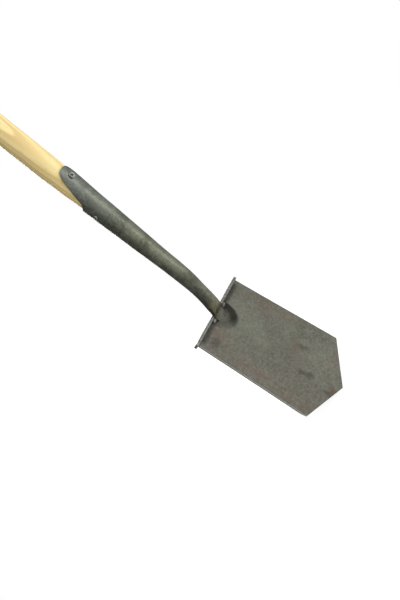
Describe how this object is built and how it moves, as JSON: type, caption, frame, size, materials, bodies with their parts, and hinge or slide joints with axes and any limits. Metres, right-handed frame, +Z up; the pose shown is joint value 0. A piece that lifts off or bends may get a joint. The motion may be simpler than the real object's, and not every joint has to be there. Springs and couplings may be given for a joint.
{
  "type": "garden spade",
  "caption": "Treaded garden spade with a flat pointed steel blade, long strapped socket, ash shaft and wooden T-grip.",
  "frame": {"origin": "middle of the T-grip's crossbar, on the shaft's axis, where the spade is held or hung", "axes": "+Z up along the shaft's axis, +X across the blade to the viewer's right when its front is seen, -Y out of the blade's front"},
  "size_m": [0.1604, 0.0595, 1.0406],
  "materials": {
    "blade_steel": "bare mill-finished steel, mottled, with faint brown oxide",
    "tread_steel": "bare steel with brightened edges",
    "weld_metal": "rippled weld bead",
    "socket_steel": "dark forged scale",
    "rivet_steel": "bright zinc-grey rivet",
    "shaft_ash": "lacquered straw-coloured ash with cathedral grain",
    "grip_wood": "pale close-grained wood, satin",
    "wedge_wood": "raw hardwood"
  },
  "bodies": {
    "root": {"blade": "blade_steel", "left_tread": "tread_steel", "right_tread": "tread_steel", "left_tread_weld": "weld_metal", "right_tread_weld": "weld_metal", "neck_weld": "weld_metal", "left_tack_weld": "weld_metal", "right_tack_weld": "weld_metal", "socket": "socket_steel", "strap_rivet": "rivet_steel", "rivet_burr": "rivet_steel", "side_rivet": "rivet_steel", "shaft": "shaft_ash", "grip": "grip_wood", "tenon_wedge": "wedge_wood"}
  },
  "joints": []
}
